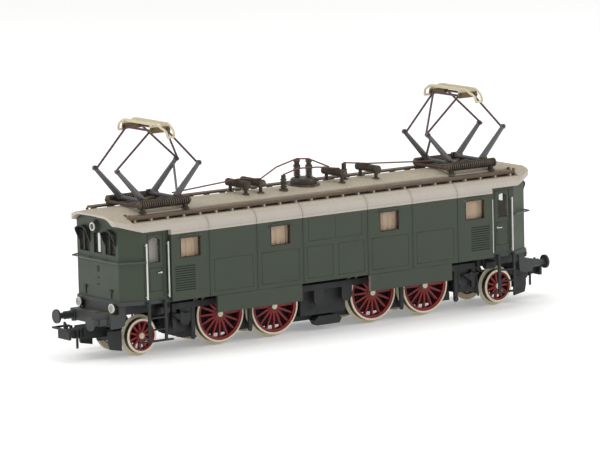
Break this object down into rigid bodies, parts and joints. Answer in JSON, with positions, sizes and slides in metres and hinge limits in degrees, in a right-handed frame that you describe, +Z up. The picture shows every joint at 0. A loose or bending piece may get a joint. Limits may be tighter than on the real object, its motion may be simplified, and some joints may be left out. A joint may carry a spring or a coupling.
{
  "type": "model electric locomotive",
  "caption": "Model electric locomotive with spoked driving wheels, a pony truck at each end, a hollow boxy body and folding diamond pantographs on a rounded roof.",
  "frame": {"origin": "on the ground under the middle of the model, level with the lowest point of the wheel flanges", "axes": "+X along the locomotive towards its rear cab, +Y to its left side seen from above looking along +X, +Z up"},
  "size_m": [0.1978, 0.0348, 0.0759],
  "materials": {
    "body_green": "satin",
    "roof_grey": "satin",
    "glass": "clear",
    "black_plastic": "matt",
    "frame_black": "matt",
    "nickel": "polished",
    "steel": "ground",
    "wheel_red": "satin",
    "copper": "wound",
    "brass_gear": "machined",
    "gear_plastic": "satin",
    "board_green": "satin",
    "lead": "dull",
    "bronze": "plain",
    "walkway": "matt",
    "insulator_brown": "satin",
    "wire_red": "painted",
    "arm_grey": "satin",
    "upper_tube": "satin",
    "head_cream": "satin",
    "silver": "bright",
    "lens": "clear"
  },
  "bodies": {
    "chassis": {"ballast_weights": "lead", "body_shell": "body_green", "buffers": "black_plastic", "cab_steps": "black_plastic", "chassis_frame": "frame_black", "chassis_screws": "steel", "circuit_board": "board_green", "end_platforms": "black_plastic", "handrails": "silver", "headlamp_lenses": "lens", "headlamps": "silver", "keeper_plate": "black_plastic", "motor": "steel", "panto_base_front": "insulator_brown", "panto_base_rear": "insulator_brown", "roof": "roof_grey", "roof_insulators": "insulator_brown", "roof_walkways": "walkway", "roof_wiring": "wire_red", "underframe_hangers": "black_plastic", "wheel_pickups": "bronze", "window_hoods": "black_plastic", "windows": "glass"},
    "rotor": {"motor_armature": "copper", "flywheels": "brass_gear", "worms": "brass_gear"},
    "drive_wheelset_1": {"drive_wheels_1": "wheel_red", "drive_tyres_1": "nickel", "drive_axle_1": "steel"},
    "drive_wheelset_2": {"drive_wheels_2": "wheel_red", "drive_tyres_2": "nickel", "drive_axle_2": "steel"},
    "drive_wheelset_3": {"drive_wheels_3": "wheel_red", "drive_tyres_3": "nickel", "drive_axle_3": "steel"},
    "drive_wheelset_4": {"drive_wheels_4": "wheel_red", "drive_tyres_4": "nickel", "drive_axle_4": "steel"},
    "idler_front": {"idler_gear_front": "gear_plastic"},
    "truck_front": {"pony_truck_front": "black_plastic", "coupler_front": "black_plastic"},
    "carrying_wheelset_front": {"carrying_wheels_front": "wheel_red", "carrying_axle_front": "steel"},
    "hook_loop_front": {"coupler_loop_front": "steel"},
    "lower_a_front": {"panto_lower_a_front": "arm_grey"},
    "upper_a_front": {"panto_upper_a_front": "upper_tube"},
    "lower_b_front": {"panto_lower_b_front": "arm_grey"},
    "upper_b_front": {"panto_upper_b_front": "upper_tube"},
    "head_front": {"pan_head_front": "head_cream"},
    "idler_rear": {"idler_gear_rear": "gear_plastic"},
    "truck_rear": {"pony_truck_rear": "black_plastic", "coupler_rear": "black_plastic"},
    "carrying_wheelset_rear": {"carrying_wheels_rear": "wheel_red", "carrying_axle_rear": "steel"},
    "hook_loop_rear": {"coupler_loop_rear": "steel"},
    "lower_a_rear": {"panto_lower_a_rear": "arm_grey"},
    "upper_a_rear": {"panto_upper_a_rear": "upper_tube"},
    "lower_b_rear": {"panto_lower_b_rear": "arm_grey"},
    "upper_b_rear": {"panto_upper_b_rear": "upper_tube"},
    "head_rear": {"pan_head_rear": "head_cream"}
  },
  "joints": [
    {"name": "motor_turn", "type": "hinge", "parent": "chassis", "child": "rotor", "pos_m": [0, 0, 0.01967], "axis": [1, 0, 0], "continuous": true},
    {"name": "idler_turn_front", "type": "hinge", "parent": "chassis", "child": "idler_front", "pos_m": [-0.03113, 0, 0.01167], "axis": [0, 1, 0], "continuous": true},
    {"name": "idler_turn_rear", "type": "hinge", "parent": "chassis", "child": "idler_rear", "pos_m": [0.03113, 0, 0.01167], "axis": [0, 1, 0], "continuous": true},
    {"name": "drive_turn_1", "type": "hinge", "parent": "chassis", "child": "drive_wheelset_1", "pos_m": [-0.04207, 0, 0.01052], "axis": [0, 1, 0], "continuous": true},
    {"name": "drive_turn_2", "type": "hinge", "parent": "chassis", "child": "drive_wheelset_2", "pos_m": [-0.02019, 0, 0.01052], "axis": [0, 1, 0], "continuous": true},
    {"name": "drive_turn_3", "type": "hinge", "parent": "chassis", "child": "drive_wheelset_3", "pos_m": [0.02019, 0, 0.01052], "axis": [0, 1, 0], "continuous": true},
    {"name": "drive_turn_4", "type": "hinge", "parent": "chassis", "child": "drive_wheelset_4", "pos_m": [0.04207, 0, 0.01052], "axis": [0, 1, 0], "continuous": true},
    {"name": "truck_swing_front", "type": "hinge", "parent": "chassis", "child": "truck_front", "pos_m": [-0.058, 0, 0.0095], "axis": [0, 0, 1], "range_deg": [-5, 5]},
    {"name": "carrying_turn_front", "type": "hinge", "parent": "truck_front", "child": "carrying_wheelset_front", "pos_m": [-0.07327, 0, 0.00685], "axis": [0, 1, 0], "continuous": true},
    {"name": "loop_lift_front", "type": "hinge", "parent": "truck_front", "child": "hook_loop_front", "pos_m": [-0.0932, 0, 0.0095], "axis": [0, 1, 0], "range_deg": [0, 20]},
    {"name": "truck_swing_rear", "type": "hinge", "parent": "chassis", "child": "truck_rear", "pos_m": [0.058, 0, 0.0095], "axis": [0, 0, 1], "range_deg": [-5, 5]},
    {"name": "carrying_turn_rear", "type": "hinge", "parent": "truck_rear", "child": "carrying_wheelset_rear", "pos_m": [0.07327, 0, 0.00685], "axis": [0, 1, 0], "continuous": true},
    {"name": "loop_lift_rear", "type": "hinge", "parent": "truck_rear", "child": "hook_loop_rear", "pos_m": [0.0932, 0, 0.0095], "axis": [0, -1, 0], "range_deg": [0, 20]},
    {"name": "lower_a_fold_front", "type": "hinge", "parent": "chassis", "child": "lower_a_front", "pos_m": [-0.0566, 0, 0.0506], "axis": [0, 1, 0], "range_deg": [0, 36.5], "stiffness_Nm_per_rad": 0.002, "springref_deg": -22.92},
    {"name": "upper_a_fold_front", "type": "hinge", "parent": "lower_a_front", "child": "upper_a_front", "pos_m": [-0.0469, 0, 0.06111], "axis": [0, 1, 0], "range_deg": [-70, 1]},
    {"name": "head_level_front", "type": "hinge", "parent": "upper_a_front", "child": "head_front", "pos_m": [-0.05991, 0, 0.07341], "axis": [0, 1, 0], "range_deg": [-1, 31]},
    {"name": "lower_b_fold_front", "type": "hinge", "parent": "chassis", "child": "lower_b_front", "pos_m": [-0.0692, 0, 0.0506], "axis": [0, 1, 0], "range_deg": [-39, 1]},
    {"name": "upper_b_fold_front", "type": "hinge", "parent": "lower_b_front", "child": "upper_b_front", "pos_m": [-0.0789, 0, 0.06111], "axis": [0, 1, 0], "range_deg": [-1, 70]},
    {"name": "lower_a_fold_rear", "type": "hinge", "parent": "chassis", "child": "lower_a_rear", "pos_m": [0.0566, 0, 0.0506], "axis": [0, -1, 0], "range_deg": [0, 36.5], "stiffness_Nm_per_rad": 0.002, "springref_deg": -22.92},
    {"name": "upper_a_fold_rear", "type": "hinge", "parent": "lower_a_rear", "child": "upper_a_rear", "pos_m": [0.0469, 0, 0.06111], "axis": [0, -1, 0], "range_deg": [-70, 1]},
    {"name": "head_level_rear", "type": "hinge", "parent": "upper_a_rear", "child": "head_rear", "pos_m": [0.05991, 0, 0.07341], "axis": [0, -1, 0], "range_deg": [-1, 31]},
    {"name": "lower_b_fold_rear", "type": "hinge", "parent": "chassis", "child": "lower_b_rear", "pos_m": [0.0692, 0, 0.0506], "axis": [0, -1, 0], "range_deg": [-39, 1]},
    {"name": "upper_b_fold_rear", "type": "hinge", "parent": "lower_b_rear", "child": "upper_b_rear", "pos_m": [0.0789, 0, 0.06111], "axis": [0, -1, 0], "range_deg": [-1, 70]}
  ],
  "couplings": [
    {"joint": "idler_turn_front", "follows": "motor_turn", "ratio": -0.045455},
    {"joint": "idler_turn_rear", "follows": "motor_turn", "ratio": -0.045455},
    {"joint": "drive_turn_1", "follows": "motor_turn", "ratio": 0.045455},
    {"joint": "drive_turn_2", "follows": "motor_turn", "ratio": 0.045455},
    {"joint": "drive_turn_3", "follows": "motor_turn", "ratio": 0.045455},
    {"joint": "drive_turn_4", "follows": "motor_turn", "ratio": 0.045455},
    {"joint": "upper_a_fold_front", "follows": "lower_a_fold_front", "ratio": -1.8},
    {"joint": "head_level_front", "follows": "lower_a_fold_front", "ratio": 0.8},
    {"joint": "lower_b_fold_front", "follows": "lower_a_fold_front", "ratio": -1},
    {"joint": "upper_b_fold_front", "follows": "lower_a_fold_front", "ratio": 1.8},
    {"joint": "upper_a_fold_rear", "follows": "lower_a_fold_rear", "ratio": -1.8},
    {"joint": "head_level_rear", "follows": "lower_a_fold_rear", "ratio": 0.8},
    {"joint": "lower_b_fold_rear", "follows": "lower_a_fold_rear", "ratio": -1},
    {"joint": "upper_b_fold_rear", "follows": "lower_a_fold_rear", "ratio": 1.8}
  ]
}
